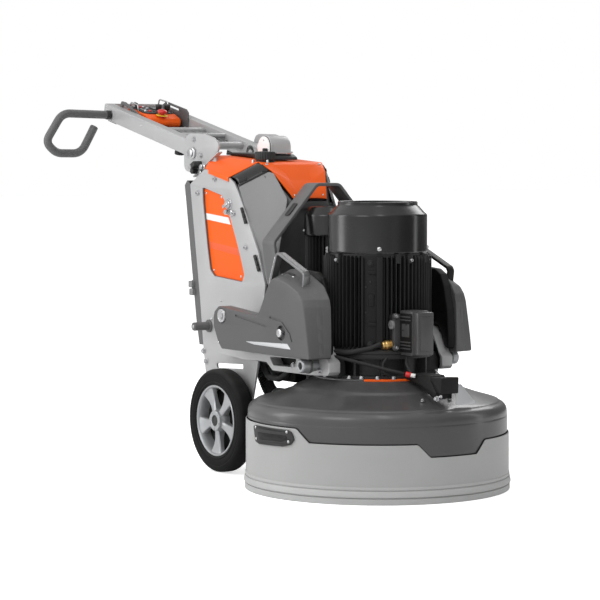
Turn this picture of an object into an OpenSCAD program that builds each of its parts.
// Walk-behind planetary floor grinder with two vertical motors.
// Origin: centre of the grinding head on the floor.
// +X is forward (towards the head), +Y is the machine's left, +Z is up.

/* [Grinding head] */
// Outer radius of the head cover
cover_r = 408.5; // [404:0.5:409]
// Outer radius of the floating shroud
shroud_r = 415; // [413:0.5:418]
// Height of the floating shroud's lip ring
lip_h = 54; // [44:1:58]
// Radius of each grinding disc
disc_r = 132; // [115:1:136]
// Distance of a grinding disc's axis from the head's centre
planet_c = 262; // [250:1:266]
// Pads on each grinding disc
pad_count = 6; // [3:1:9]

/* [Motors] */
// Radius over the large motor's cooling fins
motor_r = 172; // [160:1:178]
// Height of the top of the large motor's finned body
motor_top = 742; // [720:1:760]
// Radius of the large motor's fan cover
fan_cover_r = 156; // [145:1:165]
// Number of cooling fins on the large motor
fin_count = 52; // [30:2:60]
// Radius of the small motor's fan cover
aux_r = 85; // [78:1:90]
// Distance of the small motor behind the head's centre
aux_x = 265; // [255:1:275]

/* [Chassis] */
// Distance from the centre plane to the outer face of a side plate
plate_y = 185; // [180:1:188]
// Thickness of a side plate
plate_t = 8; // [6:1:9]
// Top of the lifting guard
guard_z = 955; // [935:1:975]
// Width of the lifting guard's flat bar
guard_w = 70; // [50:1:72]
// Thickness of the lifting guard's flat bar
guard_t = 10; // [8:1:12]

/* [Wheels] */
// Radius of a tyre
tyre_r = 171; // [165:0.5:172]
// Width of a tyre
tyre_w = 62; // [50:1:64]
// Number of spokes in a rim
spokes = 5; // [3:1:8]
// Radius of the axle
axle_r = 15; // [12:0.5:16]

/* [Handle] */
// Angle of the handle arms above level
arm_slope = 12.65; // [10:0.05:14]
// Length of the arms behind their pivot
arm_len = 674; // [640:1:680]
// Depth of an arm's tube
arm_d = 55.5; // [50:0.5:60]
// Radius of the loop grip's tube
grip_r = 15; // [12:0.5:16]

/* [Hidden] */
$fn = 64;
// radial clearance of a shaft in its hole
gap = 0.05;

silver = [0.72, 0.72, 0.73];
dark = [0.36, 0.36, 0.37];
black = [0.09, 0.09, 0.09];
orange = [1.0, 0.42, 0.15];
pale = [0.70, 0.71, 0.71];
steel = [0.78, 0.78, 0.8];
red = [0.85, 0.05, 0.06];

right = -1;
left = 1;

// axes that run across the machine, as [x, z], and the pins on them
wheel_axis = [-561, 171.5];
weight_axis = [-427, 528];
handle_axis = [-891, 1051];
head_axis = [12, 397];
lock_axis = [-76, 494];
pivot_r = 12;
head_pin_r = 15;
lock_pin_r = 8;

// ---------------- helpers ----------------
// children are drawn on the machine's right and mirrored for its left
module on_side(side) {
    if (side == right) children();
    else mirror([0, 1, 0]) children();
}
module both_sides() {
    for (side = [right, left]) on_side(side) children();
}
// slab cut from an [x, z] outline; its outer face is at -outer_y and it is thick inwards
module slab(outer_y, thick) {
    translate([0, thick - outer_y, 0]) rotate([90, 0, 0]) linear_extrude(thick) children();
}
// slab from an [x, z] outline, centred across the machine
module centre_slab(half_width) {
    slab(half_width, 2 * half_width) children();
}
// slab cut from a [y, z] outline, thick forwards from x
module cross_slab(x, thick) {
    translate([x, 0, 0]) rotate([90, 0, 90]) linear_extrude(thick) children();
}
// cylinder across the machine, on an axis given as [x, z]
module across(axis, radius, from_y, to_y) {
    translate([axis[0], to_y, axis[1]]) rotate([90, 0, 0])
        cylinder(r = radius, h = to_y - from_y);
}
// cylinder that runs rearwards from a place
module rearward(place, radius, length) {
    translate(place) rotate([0, -90, 0]) cylinder(r = radius, h = length);
}
// upright cylinder on the local Z axis
module post(radius, z, height) {
    translate([0, 0, z]) cylinder(r = radius, h = height);
}
module tube(inner_r, outer_r, height) {
    difference() {
        cylinder(r = outer_r, h = height);
        post(inner_r, -1, height + 2);
    }
}
// evenly spaced angles around a full turn
function spaced(count, start = 0) = [for (i = [0 : count - 1]) start + i * 360 / count];
// children repeated at each angle around Z
module ring(angles, radius, z = 0) {
    for (angle = angles) rotate([0, 0, angle]) translate([radius, 0, z]) children();
}
// part-ring with a square section, for cutting steps in a skirt
module arc_cut(start, sweep, inner_r, z, size) {
    translate([0, 0, z]) rotate([0, 0, start]) rotate_extrude(angle = sweep)
        translate([inner_r, 0]) square(size);
}

// ---------------- chassis ----------------
// outlines in this section are [x, z] points unless noted
module side_outline() {
    polygon([[-841, 946], [-749, 996], [-716, 996], [-589, 970], [-560, 954], [-545, 937],
        [-508, 885], [-411, 731], [-368, 626], [-375, 577], [-411, 373], [-448, 245],
        [-500, 132], [-540, 112], [-582, 112], [-640, 150], [-744, 321], [-758, 405],
        [-777, 556]]);
}
module window_outline() {
    polygon([[-762, 937], [-640, 912], [-621, 896], [-583, 837], [-546, 766], [-521, 714],
        [-496, 653], [-509, 629], [-686, 641], [-712, 660], [-731, 743], [-756, 877]]);
}

// tilted plane of a side door: a point on it, its tilt and its turn
door_origin = [-540, -185, 945];
door_tilt = 73.6;
door_turn = -55.7;
door_t = 3;
// frame on the door's plane: x down, y forward, z out
module door_frame() {
    translate(door_origin) rotate([0, door_tilt, door_turn]) children();
}
// [x, y] points in the door's frame
module door_outline() {
    polygon([[4, 8], [-47, 106], [-42, 124], [46, 182], [318, 172], [334, 150]]);
}
// room for the door's edge in the parts around it
module door_rebate(depth) {
    door_frame() translate([0, 0, -8]) linear_extrude(depth) offset(delta = 0.6)
        door_outline();
}

module side_plate(side) {
    slot = [[-672, 350], [-504, 358], [-503, 343], [-668, 334]];
    color(silver) on_side(side) difference() {
        slab(plate_y, plate_t) side_outline();
        slab(plate_y + 1, plate_t + 2) window_outline();
        slab(plate_y + 1, plate_t + 2) polygon(slot);
        across(wheel_axis, axle_r + gap, -plate_y - 1, 0);
        across(weight_axis, pivot_r + gap, -plate_y - 1, 0);
        door_rebate(24);
    }
}
module side_plate_right() { side_plate(right); }
module side_plate_left() { side_plate(left); }

module window_panels() {
    // panels just inside the plates, overlapping the window edges
    color(orange) both_sides()
        slab(plate_y - plate_t - 0.1, 2) offset(delta = 12) window_outline();
}

cabinet_half = 174;
cabinet_wall = 3;
// distance of the cabinet's cut corners behind the door planes
door_gap = 8;
outlet_z = 470;
// cabinet shape; a negative inset makes it larger, for cutting clearance
module cabinet_block(inset) {
    difference() {
        centre_slab(cabinet_half - inset)
            polygon([[-828 + inset, 938 - inset], [-480, 938 - inset],
                [-398 - inset, 884 - inset], [-378 - inset, 620], [-424 - inset, 420 + inset],
                [-742 + inset, 420 + inset], [-762 + inset, 556]]);
        both_sides() door_frame() translate([-600, -600, -door_gap - inset])
            cube([1300, 1300, 700]);
    }
}
module cabinet_body() {
    // [x, y] points in the door's frame
    door_opening = [[34, 40], [-10, 112], [48, 160], [250, 152], [250, 118]];
    color(dark) difference() {
        union() {
            difference() {
                cabinet_block(0);
                cabinet_block(cabinet_wall);
            }
            // rear vacuum outlet and its thicker end
            rearward([-752, 0, outlet_z], 36.5, 68);
            rearward([-816, 0, outlet_z], 38, 36);
        }
        rearward([-740, 0, outlet_z], 34, 120);
        // hole in the floor, right of centre
        translate([-575, -100, 400]) cylinder(r = 42, h = 40);
        // openings behind the doors
        both_sides() door_frame() translate([0, 0, -30]) linear_extrude(30)
            polygon(door_opening);
        both_sides() across(weight_axis, 20, -175, -170);
    }
}

module rear_cover() {
    outer = [[-868, 958], [-884, 942], [-810, 490], [-790, 405], [-767, 405], [-785, 556],
        [-848, 946]];
    inner = [[-866, 954], [-880, 941], [-806, 490], [-787, 408], [-760, 408], [-760, 556],
        [-820, 960]];
    color(dark) {
        difference() {
            centre_slab(180) polygon(outer);
            centre_slab(177) polygon(inner);
            rearward([-700, 0, outlet_z], 38.5, 200);
        }
        // small block near each side
        both_sides() translate([-846, -176, 572]) cube([19, 30, 48]);
    }
}

// right-hand corners of the hood as [x, half width, z]; the last four are its base
function hood_corners(base_z) = [[-806, 118, 1041], [-744, 181, 999], [-600, 183, 974],
    [-524, 112, 1024], [-492, 110, 1021], [-450, 103, 994], [-383, 66, 903],
    [-386, 64, base_z], [-560, 181, base_z], [-806, 118, base_z], [-790, 181, base_z]];
module hood_hull(inset, base_z) {
    hull() for (side = [right, left], corner = hood_corners(base_z))
        translate([corner[0] + (corner[0] < -700 ? inset : -inset),
            side * (corner[1] - inset),
            corner[2] - (corner[2] > 899 ? inset : 0)])
            cube(0.5, center = true);
}

cap_place = [-532, -80];
cap_stem_r = 8;
module hood() {
    color(orange) intersection() {
        difference() {
            hood_hull(0, 900);
            hood_hull(3, 860);
        }
        difference() {
            translate([-850, -250, 897]) cube([600, 500, 200]);
            // clears the cabinet and the side plates below the bent edge
            translate([-860, -250, 800]) cube([420, 500, 175]);
            both_sides() {
                door_rebate(20);
                slab(plate_y + 3, plate_t + 3.4) offset(delta = 0.4) side_outline();
                slab(bracket_y + 0.6, bracket_t + 1.2) offset(delta = 0.6) bracket_outline();
            }
            cabinet_block(-0.3);
            // seat of the inlet cap's stem
            translate([cap_place[0], cap_place[1], 1000]) cylinder(r = cap_stem_r + gap, h = 60);
        }
    }
}

module hood_surround() {
    spine = [[-830, 1043], [-830, 1052], [-548, 1046], [-530, 1036], [-530, 1024],
        [-800, 1046]];
    // [x, half width, z]
    collar = [[-402, 82, 898], [-392, 78, 872], [-402, 78, 872], [-412, 86, 898]];
    color(dark) {
        // spine along the hood's ridge, under the inlet housing
        difference() {
            centre_slab(46) polygon(spine);
            hood_hull(-0.3, 900);
        }
        // collar below the hood's front edge
        difference() {
            hull() for (side = [right, left], corner = collar)
                translate([corner[0], side * corner[1], corner[2]]) cube(0.5, center = true);
            cabinet_block(-0.2);
        }
    }
}

module guard_frame() {
    // flat bar bent to an A: top, two sloping sides and two upright legs
    rear_x = -345;
    top_half = 41;
    leg_half = 207;
    shoulder_z = 765;
    slot_r = 9;
    slot_half = 14;
    color(dark) difference() {
        cross_slab(rear_x, guard_w) difference() {
            polygon([[-top_half, guard_z], [top_half, guard_z], [leg_half, shoulder_z],
                [leg_half, 440], [-leg_half, 440], [-leg_half, shoulder_z]]);
            polygon([[4 - top_half, guard_z - guard_t], [top_half - 4, guard_z - guard_t],
                [leg_half - guard_t, shoulder_z - 4], [leg_half - guard_t, 430],
                [guard_t - leg_half, 430], [guard_t - leg_half, shoulder_z - 4]]);
        }
        // lifting slots in the sloping sides
        both_sides() translate([rear_x + guard_w / 2, -118, 869]) rotate([-48.9, 0, 0]) {
            for (y = [-slot_half, slot_half]) translate([0, y, -20])
                cylinder(r = slot_r, h = 40);
            translate([-slot_r, -slot_half, -20]) cube([2 * slot_r, 2 * slot_half, 40]);
        }
    }
}

module axle() {
    color(steel) across(wheel_axis, axle_r, -262, 262);
}
bearing_r = 26;
module wheel_bearings() {
    width = 14;
    color(steel) for (y = [-222, -254]) both_sides() difference() {
        across(wheel_axis, bearing_r, y, y + width);
        across(wheel_axis, axle_r + gap, y - 1, y + width + 1);
    }
}

module head_arms() {
    outer_y = 240;
    thick = 45;
    inner_y = outer_y - thick;
    outline = [[-612, 396], [-579, 391], [-400, 383], [-363, 387], [-280, 385], [-244, 362],
        [-163, 362], [-9, 364], [72, 368], [81, 377], [81, 408], [66, 420], [33, 478],
        [1, 499], [-26, 500], [-60, 440], [-84, 414], [-380, 416], [-470, 440], [-612, 440]];
    window = [[-254, 396], [-236, 376], [-170, 377], [-170, 402], [-250, 402]];
    color(silver) both_sides() difference() {
        slab(outer_y, thick) polygon(outline);
        across(head_axis, head_pin_r + gap, -outer_y - 1, -190);
        // window behind the arch
        slab(outer_y + 1, 48) polygon(window);
    }
    // spacers between the arms and the side plates
    color(silver) both_sides() translate([-600, -inner_y + gap, 398])
        cube([120, inner_y - plate_y - 2 * gap, 36]);
}
module pivot_pins() {
    color(steel) both_sides() {
        across(head_axis, head_pin_r, -258, -156);
        across(head_axis, 22, -300, -257.5);
    }
}

bracket_y = 143;
bracket_t = 8;
module bracket_outline() {
    polygon([[-952, 1060], [-952, 1005], [-940, 990], [-872, 976], [-846, 948], [-822, 942],
        [-760, 942], [-735, 1000], [-745, 1040], [-731, 1058], [-722, 1074], [-735, 1090],
        [-759, 1103], [-812, 1115], [-911, 1117], [-930, 1112], [-940, 1100]]);
}
module handle_brackets() {
    color(silver) both_sides() difference() {
        slab(bracket_y, bracket_t) bracket_outline();
        across(handle_axis, pivot_r + gap, -145, -130);
        // arc of holes behind the pivot
        for (angle = [100 : 35 : 205])
            across(handle_axis + 52 * [cos(angle), -sin(angle)], 5, -145, -130);
    }
}

module inverters() {
    levels = [520, 700];
    color(pale) for (z = levels) translate([-700, -110, z]) cube([240, 220, 150]);
    // block on the rear of each
    color(dark) for (z = levels) translate([-712, -100, z + 10]) cube([11.9, 200, 130]);
}

module inlet_housing() {
    // arched hollow housing across the ridge, open below
    arch_axis = [-590, 1070];
    color(silver) difference() {
        union() {
            intersection() {
                across(arch_axis, 39, -45, 37);
                translate([-640, -50, 1060]) cube([100, 100, 60]);
            }
            translate([-629, -45, 1052.4]) cube([78, 82, 17.6]);
        }
        across(arch_axis, 36, -41, 33);
        translate([-626, -41, 1040]) cube([72, 74, 30]);
    }
}
module inlet_cap() {
    cap_r = 31;
    color(black) translate([cap_place[0], cap_place[1], 0]) {
        post(cap_r, 1028, 18);
        post(cap_stem_r, 1012, 17);
        post(9, 1045, 9);
        // grip ribs
        ring(spaced(18), cap_r, 1029) cylinder(r = 2, h = 16, $fn = 8);
    }
}

module frame_fasteners() {
    bolts = [[-788, 916], [-678, 965], [-484, 743], [-558, 853], [-752, 385], [-700, 430],
        [-640, 440]];
    latch = [-589, 883];
    color(steel) both_sides() {
        for (bolt = bolts) across(bolt, 8, -plate_y - 5, -plate_y);
        // latch and its nut on the upper front corner
        across(latch, 15, -plate_y - 6, -plate_y);
        across(latch, 11, -plate_y - 20.1, -plate_y - 6.1, $fn = 6);
    }
    // transport pegs: rests for the weights when they are swung back
    color(dark) both_sides() across([-720, 472], 14, -248, -plate_y);
}

module door_hinges() {
    // unit direction down the door's rear edge, and each hinge's distance along it
    edge = [0.463, 0, -0.8863];
    color(black) for (distance = [82, 254]) both_sides()
        translate(door_origin - [0, 5.6, 0] + distance * edge) rotate([0, 152.4, 0])
            cylinder(r = 5, h = 58);
}
module door(side) {
    // [x, y] points in the door's frame
    flange = [[-38, 122], [46, 178], [300, 169], [300, 165], [47, 173], [-35, 119]];
    color(silver) on_side(side) door_frame() {
        translate([0, 0, -door_t]) linear_extrude(door_t) door_outline();
        // stiffening flange behind the free edge
        translate([0, 0, -7.4]) linear_extrude(4.5) polygon(flange);
    }
}
module door_right() { door(right); }
module door_left() { door(left); }

module pivot_bolts() {
    bracket_bolts = [[-884, 1098], [-924, 1047], [-838, 1044], [-905, 1003]];
    head_y = -bracket_y - 0.1;
    color(steel) both_sides() {
        // weight pivots
        across(weight_axis, pivot_r, -314, -150);
        across(weight_axis, 22, -320, -314);
        // handle pivots
        across(handle_axis, pivot_r, -bracket_y - 1, -80);
        across(handle_axis, 17, -152, head_y);
        for (bolt = bracket_bolts) across(bolt, 8, -149, head_y);
    }
}

// ---------------- wheels ----------------
// frame at a wheel's centre, with z outwards along the axle; profiles are [radius, z]
module at_wheel(side) {
    on_side(side) translate([wheel_axis[0], -230, wheel_axis[1]]) rotate([90, 0, 0])
        children();
}
module tyre(side) {
    half = tyre_w / 2;
    color(black) at_wheel(side) rotate_extrude()
        polygon([[118, -half + 8], [128, -half + 1], [150, -half], [162, -half + 4],
            [tyre_r - 1, -half + 14], [tyre_r, 0], [tyre_r - 1, half - 14],
            [162, half - 4], [150, half], [128, half - 1], [118, half - 8]]);
}
module rim(side) {
    profile = [[112, -25], [117.9, -22], [117.9, 22], [112, 27], [106, 24], [108, 0],
        [106, -24]];
    spoke = [[28, -9], [109, -24], [109, 24], [28, 9]];
    color(pale) at_wheel(side) difference() {
        union() {
            rotate_extrude() polygon(profile);
            ring(spaced(spokes, -22), 0, 2) linear_extrude(14) polygon(spoke);
            post(34, -26, 52);
        }
        post(bearing_r + gap, -40, 80);
    }
}
module tyre_right() { tyre(right); }
module tyre_left() { tyre(left); }
module rim_right() { rim(right); }
module rim_left() { rim(left); }

// ---------------- handle ----------------
arm_y = 125;
arm_w = 38;
arm_wall = 4;
arm_inner_y = arm_y - arm_w;
arm_bottom = 30.5 - arm_d;
// controls in the handle's frame, as [x, y]
estop_place = [-462, -8.5];
estop_r = 9;
toggle_place = [-545, -40];
stick_x = -508;
stick_right_y = 2;
stick_left_y = 37;

// frame at the handle's pivot: negative x runs along the arms to the rear end, z is across
// their depth; outlines in it are [x, z] points
module handle_axes() {
    translate([handle_axis[0], 0, handle_axis[1]]) rotate([0, arm_slope, 0]) children();
}
module handle_frame() {
    color(silver) handle_axes() {
        both_sides() difference() {
            union() {
                translate([-arm_len, -arm_y, arm_bottom]) cube([arm_len + 45, arm_w, arm_d]);
                across([0, 0], 26, -arm_y, -arm_inner_y);
            }
            translate([-arm_len - 1, arm_wall - arm_y, arm_bottom + arm_wall])
                cube([arm_len - 60, arm_w - 2 * arm_wall, arm_d - 2 * arm_wall]);
            across([0, 0], pivot_r + gap, -130, -80);
        }
        // rear cross plate, cross tubes and a narrow cross strip
        translate([-arm_len - 4, -arm_y, arm_bottom]) cube([4, 2 * arm_y, arm_d]);
        across([-318, 10], 10.5, -arm_inner_y, arm_inner_y);
        across([-60, 12], 14, -arm_inner_y, arm_inner_y);
        translate([-200, -arm_inner_y, -8]) cube([4, 2 * arm_inner_y, 30]);
        // round feet under the arms
        both_sides() translate([-150, -106, arm_bottom - 10]) cylinder(r = 14, h = 10);
    }
}
module control_dock() {
    right_ear = [[-636, -18], [-634, 34], [-628, 50], [-600, 52], [-560, 44], [-510, 33],
        [-460, 24], [-400, 10], [-400, -18]];
    right_slot = [[-618, 22], [-614, 40], [-570, 36], [-540, 22]];
    left_ear = [[-622, -18], [-618, 40], [-600, 54], [-585, 58], [-448, 59], [-432, 50],
        [-428, 20], [-426, -18]];
    left_slot = [[-588, 42], [-580, 50], [-500, 50], [-496, 42]];
    color(dark) handle_axes() {
        // ear on the right, falling towards the front
        difference() {
            slab(86.5, 6) polygon(right_ear);
            slab(90, 12) polygon(right_slot);
        }
        // taller ear on the left
        difference() {
            slab(-80.5, 6) polygon(left_ear);
            slab(-78, 12) polygon(left_slot);
        }
        // floor with an opening
        difference() {
            translate([-636, -80.4, -18]) cube([210, 160.8, 5]);
            translate([-570, -50, -20]) cube([90, 100, 10]);
        }
    }
}
module remote_housing() {
    outline = [[-612, -12], [-462, -12], [-448, -4], [-444, 10], [-452, 24], [-486, 33],
        [-608, 33], [-616, 20]];
    color(orange) handle_axes() difference() {
        centre_slab(66) polygon(outline);
        translate([estop_place[0], estop_place[1], 6]) cylinder(r = estop_r + gap, h = 44);
        for (y = [stick_right_y, stick_left_y]) translate([stick_x, y, 10])
            cylinder(r = 11, h = 40);
        translate([toggle_place[0], toggle_place[1], 10]) cylinder(r = 8, h = 40);
    }
}
module estop_button() {
    color(red) handle_axes() translate([estop_place[0], estop_place[1], 0]) {
        post(estop_r, 14, 26);
        translate([0, 0, 39]) cylinder(r1 = 15, r2 = 17, h = 6);
        translate([0, 0, 45]) cylinder(r1 = 17, r2 = 11, h = 8);
    }
}
module stick(y) {
    color(black) handle_axes() translate([stick_x, y, 14]) {
        cylinder(r = 4, h = 30);
        // cross pin on the tilt axis
        translate([0, 0, 2]) rotate([90, 0, 0]) cylinder(r = 3, h = 14, center = true);
        translate([0, 0, 28]) cylinder(r1 = 8, r2 = 11, h = 20);
    }
}
module stick_left() { stick(stick_left_y); }
module stick_right() { stick(stick_right_y); }
module mode_toggle() {
    color(steel) handle_axes() translate([toggle_place[0], toggle_place[1], 14]) {
        cylinder(r = 3.5, h = 26);
        translate([0, 0, 2]) rotate([90, 0, 0]) cylinder(r = 2.5, h = 12, center = true);
        post(6, 24, 12);
    }
}

function unit(vector) = vector / norm(vector);
function heading(vector) = atan2(vector[1], vector[0]);
// signed angle from one direction to another, within half a turn
function turn_between(from, to) =
    let (angle = heading(to) - heading(from))
    angle > 180 ? angle - 360 : (angle < -180 ? angle + 360 : angle);
// tube in the plane across the machine at x: straight runs between [y, z] corners,
// joined by bends of centre-line radius bend_r
module bent_tube(x, corners, bend_r, tube_r) {
    last = len(corners) - 1;
    // how far a run reaches into the bends at its ends
    overlap = 2;
    run = [for (i = [0 : last - 1]) unit(corners[i + 1] - corners[i])];
    trim = [for (i = [0 : last]) (i == 0 || i == last) ? 0
        : bend_r * tan(abs(turn_between(run[i - 1], run[i])) / 2)];
    for (i = [0 : last - 1]) {
        start_lap = i > 0 ? overlap : 0;
        end_lap = i < last - 1 ? overlap : 0;
        start = corners[i] + run[i] * (trim[i] - start_lap);
        span = norm(corners[i + 1] - corners[i]) - trim[i] - trim[i + 1];
        translate([x, start[0], start[1]]) rotate([90, 0, 90])
            rotate([0, 0, heading(run[i])]) rotate([0, 90, 0])
                cylinder(r = tube_r, h = span + start_lap + end_lap);
    }
    for (i = [1 : last - 1]) {
        before = run[i - 1];
        bend = turn_between(before, run[i]);
        way = bend > 0 ? 1 : -1;
        centre = corners[i] - before * trim[i] + way * bend_r * [-before[1], before[0]];
        first = bend > 0 ? heading(before) - 90 : heading(before) + 90 + bend;
        translate([x, centre[0], centre[1]]) rotate([90, 0, 90]) rotate([0, 0, first])
            rotate_extrude(angle = abs(bend)) translate([bend_r, 0]) circle(r = tube_r + 0.4);
    }
}
module loop_grip() {
    x = -1505;
    hub_z = 1187;
    // [y, z]
    corners = [[-140, hub_z], [-321, 1192], [-389, 1088], [-345, 1049], [-246, 1048],
        [-192, 1143]];
    color(dark) {
        bent_tube(x, corners, 30, grip_r);
        // hub that turns on the arm's end
        translate([x, -126, hub_z]) rotate([90, 0, 0]) cylinder(r = 19, h = 20);
    }
}

// ---------------- swing weights ----------------
// outlines are [x, z] points
weight_y = 312.5;
module handle_outline() {
    polygon([[-192, 600], [-182, 650], [-150, 736], [-140, 746], [-124, 745], [8, 692],
        [14, 678], [0, 600]]);
}
module weight(side) {
    plate = [[-451, 558], [-475, 540], [-483, 520], [-480, 490], [-455, 445], [-433, 421],
        [82, 421], [74, 470], [65, 513], [50, 580], [40, 603], [20, 624], [-25, 643],
        [-60, 655], [-93, 662], [-127, 660], [-145, 648], [-157, 631], [-203, 556],
        [-214, 545], [-227, 539], [-300, 546]];
    block = [[-206, 421], [88, 421], [86, 520], [64, 632], [46, 668], [14, 685], [-60, 690],
        [-110, 690], [-140, 672], [-170, 610], [-206, 556]];
    pocket = [[-140, 400], [100, 400], [100, 430], [76, 434], [44, 490], [8, 512],
        [-34, 512], [-72, 452], [-100, 430], [-140, 430]];
    recess = [[-310, 438], [-300, 446], [-30, 460], [-10, 436]];
    color(dark) on_side(side) difference() {
        union() {
            slab(weight_y, 50) polygon(plate);
            // deeper block towards the machine's centre, with a higher top
            slab(263, 45) polygon(block);
        }
        // pocket over the head arm's arch
        slab(241, 30) polygon(pocket);
        across(weight_axis, pivot_r + gap, -313, -200);
        across(weight_axis, 23, -313, -306);
        across(lock_axis, lock_pin_r + gap, -313, -200);
        // slot for the carrying handle
        slab(288, 26) handle_outline();
        // long recess along the lower edge
        slab(weight_y + 0.5, 5) polygon(recess);
    }
}
module weight_right() { weight(right); }
module weight_left() { weight(left); }
module weight_handle(side) {
    opening = [[-158, 664], [-134, 726], [-124, 730], [-36, 694], [-50, 672], [-110, 676]];
    color(silver) on_side(side) difference() {
        slab(287.9, 25.8) handle_outline();
        slab(289, 30) polygon(opening);
    }
}
module weight_handle_right() { weight_handle(right); }
module weight_handle_left() { weight_handle(left); }
module lock_pin(side) {
    color(steel) on_side(side) {
        across(lock_axis, lock_pin_r, -316, -244);
        across(lock_axis, 14, -322, -315.5);
    }
}
module lock_pin_right() { lock_pin(right); }
module lock_pin_left() { lock_pin(left); }

// ---------------- grinding head ----------------
// turned profiles are [radius, z] points
// underside of the parts seated on the cover's neck
neck_z = 352.2;
// centre line of the dust port, right of centre at the rear
port_y = -100;
port_z = 258;
hub_r = 60;
module on_aux_axis() {
    translate([-aux_x, 0, 0]) children();
}

module head_cover() {
    profile = [[152, 352], [200, 348], [264, 320], [300, 303], [350, 287], [385, 276],
        [400, 265], [cover_r, 245], [cover_r, 142], [cover_r - 4, 142], [cover_r - 4, 243],
        [396, 262], [382, 272], [349, 283], [299, 299], [263, 316], [199, 344], [152, 348]];
    color(dark) difference() {
        rotate_extrude() polygon(profile);
        // the skirt is deeper around the front and deepest at the front tongue
        arc_cut(68, 224, 380, 130, [50, 93]);
        for (start = [15.5, -75.5]) arc_cut(start, 60, 380, 130, [50, 52]);
        on_aux_axis() post(84, 250, 120);
        rearward([-335, port_y, port_z], 26.4, 100);
    }
}
module head_housing() {
    color(dark) difference() {
        union() {
            post(396, 222, 14);
            translate([0, 0, 110]) tube(388, 396, 113);
            // posts under the two motors
            ring([0, 60, -60, 115, -115], 134, 230) cylinder(r = 12, h = 122);
            on_aux_axis() ring([180, 105, -105], 70, 230) cylinder(r = 12, h = 106);
            // dust port and its block
            rearward([-350, port_y, port_z], 26, 66);
            translate([-372, -126, 230]) cube([22, 52, 30]);
        }
        post(hub_r + gap, 200, 60);
        rearward([-345, port_y, port_z], 20, 80);
    }
}
module motor_adapter() {
    lug = [[-26, 360], [62, 360], [60, 400], [46, 422], [-10, 424], [-24, 404]];
    color(black) {
        difference() {
            union() {
                post(186, neck_z, 13);
                post(140, 360, 62);
                post(172, 417, 14);
                // ribs between the flanges
                ring(spaced(12), 100, 362) translate([0, -4, 0]) cube([68, 8, 58]);
            }
            post(21, 350, 100);
            post(100, 380, 60);
            both_sides() across(head_axis, head_pin_r + gap, -175, -145);
        }
        // lugs that hang on the head pivot pins
        both_sides() difference() {
            slab(193, 30) polygon(lug);
            across(head_axis, head_pin_r + gap, -195, -150);
        }
    }
}
module neck_ring() {
    color(orange) translate([0, 0, neck_z]) tube(186.2, 196, 5);
}
// cross-section of a finned motor body
module finned_circle(core_r, fin_r, count, thick) {
    circle(r = core_r);
    for (angle = spaced(count)) rotate(angle) translate([0, -thick / 2])
        square([fin_r, thick]);
}
// rings of round vents, each sized in proportion to its ring's radius
module vents(radii, count, ratio, z, height) {
    for (radius = radii) ring(spaced(count), radius, z) cylinder(r = radius / ratio, h = height);
}
module motor_body() {
    color(black) difference() {
        union() {
            translate([0, 0, 445]) linear_extrude(motor_top - 447)
                finned_circle(140, motor_r, fin_count, 4);
            post(165, 431.2, 18);
            post(153, motor_top - 12, 12);
            // upright pad on the front right
            translate([96, -166, 470]) cube([40, 60, 250]);
        }
        post(78, 430, 340);
        // flat seat for the terminal box and its cable glands
        translate([135.9, -90, 425]) cube([60, 146, 143]);
    }
}
module fan_cover() {
    profile = [[fan_cover_r - 2, 0], [fan_cover_r, 0], [fan_cover_r, 118],
        [fan_cover_r - 3, 123], [126, 148], [126, 159], [120, 159], [120, 148],
        [fan_cover_r - 5, 121], [fan_cover_r - 2, 116]];
    color(black) difference() {
        union() {
            translate([0, 0, motor_top + 0.1]) rotate_extrude() polygon(profile);
            post(121, motor_top + 140, 3);
        }
        vents([40, 70, 100], 12, 9, motor_top + 130, 30);
    }
}

// screw corners on the terminal box
box_screw_y = [-52, 44];
box_screw_z = [446, 548];
gland_axis = [168, 468];
module terminal_box() {
    color(dark) difference() {
        union() {
            translate([136, -55, 440]) cube([30, 110, 118]);
            translate([166, -31, 432]) cube([94, 62, 134]);
            for (y = box_screw_y, z = box_screw_z) translate([166, y, z]) cube([6, 8, 10]);
            // round stubs on the right side
            across([152, 535], 13, -59, -50);
            across(gland_axis, 12, -72, -42);
        }
        translate([172, -25, 438]) cube([80, 50, 122]);
    }
}
module aux_motor() {
    neck_relief = [[140, 300], [264, 300], [264, 320.4], [200, 348.4], [140, 352.6]];
    color(black) on_aux_axis() difference() {
        union() {
            post(95, 336.2, 14);
            post(60, 349, 40);
            translate([0, 0, 380]) linear_extrude(408) finned_circle(66, aux_r - 3, 28, 3);
            // small terminal box on its left side
            translate([-30, 60, 480]) cube([60, 40, 90]);
        }
        post(46, 330, 470);
        // the flange is relieved over the cover's neck
        translate([aux_x, 0, 0]) rotate_extrude() polygon(neck_relief);
    }
}
module aux_fan_cover() {
    profile = [[aux_r - 2, 0], [aux_r, 0], [aux_r, 66], [70, 91], [60, 91], [60, 88],
        [69, 88], [aux_r - 2, 65]];
    color(black) translate([-aux_x, 0, 788.2]) difference() {
        union() {
            rotate_extrude() polygon(profile);
            post(62, 86, 3);
        }
        vents([18, 36, 52], 8, 7, 80, 20);
    }
}
module nose_bracket() {
    // [x, z]
    nose = [[190, 366], [190, 357.6], [197, 357.6], [250, 352], [330, 314], [342, 306],
        [380, 325], [382, 376], [228, 378]];
    slit = [[312, 366], [318, 366], [340, 330], [334, 330]];
    // [y, z]
    gusset = [[33.2, 292], [33.2, 352], [52, 352], [102, 298], [102, 288], [60, 290]];
    color(dark) difference() {
        centre_slab(33) polygon(nose);
        centre_slab(40) polygon(slit);
    }
    // gusset on the left of the nose, standing on the cover
    color(pale) cross_slab(366, 3) polygon(gusset);
}
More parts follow.
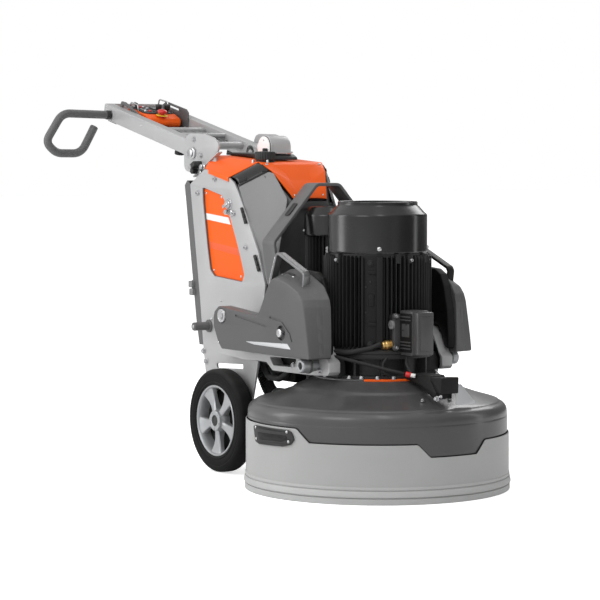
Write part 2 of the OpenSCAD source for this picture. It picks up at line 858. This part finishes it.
// corrugated hose from the dust port up into the chassis
module dust_hose() {
    bend = 54;
    bend_r = 70;
    bend_x = -430;
    pitch = 9;
    ribs = 15;
    // [radius, distance along the hose] of one corrugation
    rib = [[20, 4], [23, 5], [23, 8], [20, 9]];
    profile = concat([[0, -2], [20, -2]],
        [for (i = [0 : ribs - 1], point = rib) [point[0], i * pitch + point[1]]],
        [[0, ribs * pitch]]);
    color(black) {
        rearward([-416.2, port_y, port_z], 22, 15.5);
        translate([bend_x, port_y, port_z + bend_r]) rotate([90, 0, 0])
            rotate([0, 0, 270 - bend]) rotate_extrude(angle = bend)
                translate([bend_r, 0]) circle(r = 21);
        translate([bend_x - bend_r * sin(bend), port_y, port_z + bend_r - bend_r * cos(bend)])
            rotate([0, bend - 90, 0]) rotate_extrude() polygon(profile);
    }
}
module head_fasteners() {
    color(steel) {
        // adapter flange bolts
        ring([0, 30, 60, 120, 150, 180, 210, 240, 300, 330], 176, 365.3)
            cylinder(r = 7, h = 8, $fn = 6);
        // fan cover screws
        ring([-140, -55, -10, 45, 140], fan_cover_r + 0.1, motor_top + 14)
            rotate([0, 90, 0]) cylinder(r = 6, h = 4);
        // terminal box screws
        for (y = box_screw_y, z = box_screw_z) translate([172.1, y + 4, z + 5])
            rotate([0, 90, 0]) cylinder(r = 3.6, h = 5);
        // hexagonal gland on the terminal box's right side
        across(gland_axis, 10, -86.1, -72.1, $fn = 6);
    }
}

// belt and its pulleys
belt_z = 241;
belt_h = 14;
main_pulley_r = 110;
aux_pulley_r = 45;
// outline around both pulleys, at a distance outside them
module belt_outline(distance) {
    hull() {
        circle(r = main_pulley_r + distance);
        translate([-aux_x, 0]) circle(r = aux_pulley_r + distance);
    }
}
module drive_belt() {
    color(black) translate([0, 0, belt_z]) linear_extrude(belt_h) difference() {
        belt_outline(5);
        belt_outline(0.5);
    }
}

// ---------------- floating shroud ----------------
module shroud() {
    color(pale) difference() {
        translate([0, 0, 40]) tube(shroud_r - 5, shroud_r, 180);
        // stepped down around the front to stay below the cover's deeper skirt
        arc_cut(-68.5, 137, shroud_r - 20, 178, [40, 60]);
        arc_cut(-16, 32, shroud_r - 20, 139, [40, 60]);
    }
}
module shroud_lip() {
    // [radius, z], with two grooves in the outer face
    profile = [[404, 0], [420, 0], [420, 14], [417.5, 16], [417.5, 22], [420, 24],
        [420, lip_h - 14], [417.5, lip_h - 12], [417.5, lip_h - 9], [420, lip_h - 7],
        [418, lip_h], [shroud_r + 0.1, lip_h], [shroud_r + 0.1, 39.8], [404, 39.8]];
    color(pale) rotate_extrude() polygon(profile);
}

// ---------------- planetary drive ----------------
planet_angles = spaced(3, 60);
spindle_r = 25;
shaft_r = 20;
module planet_plate() {
    color(steel) difference() {
        union() {
            post(372, 130, 20);
            post(hub_r, 149, 113);
            post(main_pulley_r, belt_z, belt_h);
        }
        post(shaft_r + gap, 120, 160);
        ring(planet_angles, planet_c, 120) cylinder(r = spindle_r + gap, h = 40);
    }
}
module tool_disc(angle) {
    color(steel) ring([angle], planet_c) {
        difference() {
            union() {
                post(disc_r, 22, 12);
                post(70, 33, 80);
                post(spindle_r, 110, 56);
            }
            ring(spaced(3, 30), 90, 10) cylinder(r = 5, h = 40);
        }
        // collar above the planet plate
        translate([0, 0, 151]) tube(spindle_r, 40, 14);
    }
    // grinding pads
    color(dark) ring([angle], planet_c) ring(spaced(pad_count), 104, 1)
        cylinder(r = 20, h = 21);
}
module tool_disc_1() { tool_disc(planet_angles[0]); }
module tool_disc_2() { tool_disc(planet_angles[1]); }
module tool_disc_3() { tool_disc(planet_angles[2]); }
module main_rotor() {
    color(steel) {
        post(60, 98, 26);
        post(shaft_r, 100, 700);
        post(76, 480, 220);
        // fan, with pockets between its vanes
        difference() {
            post(118, 770, 30);
            ring(spaced(8), 38, 776) translate([0, 6, 0]) cube([72, 26, 40]);
        }
    }
}
module aux_rotor() {
    color(steel) on_aux_axis() {
        post(aux_pulley_r, belt_z, belt_h);
        post(12, belt_z, 600);
        post(44, 420, 320);
        // fan, with pockets between its vanes
        difference() {
            post(66, 824, 22);
            ring(spaced(6), 22, 830) translate([0, 4, 0]) cube([40, 18, 30]);
        }
    }
}

side_plate_right();
side_plate_left();
window_panels();
cabinet_body();
rear_cover();
hood();
hood_surround();
guard_frame();
axle();
wheel_bearings();
head_arms();
pivot_pins();
handle_brackets();
inverters();
inlet_housing();
frame_fasteners();
door_hinges();
pivot_bolts();
inlet_cap();
door_right();
door_left();
tyre_right();
rim_right();
tyre_left();
rim_left();
handle_frame();
control_dock();
remote_housing();
estop_button();
stick_left();
stick_right();
mode_toggle();
loop_grip();
weight_right();
weight_left();
weight_handle_right();
weight_handle_left();
lock_pin_right();
lock_pin_left();
head_cover();
head_housing();
motor_adapter();
neck_ring();
motor_body();
fan_cover();
terminal_box();
aux_motor();
aux_fan_cover();
nose_bracket();
dust_hose();
head_fasteners();
shroud();
shroud_lip();
planet_plate();
tool_disc_1();
tool_disc_2();
tool_disc_3();
main_rotor();
aux_rotor();
drive_belt();
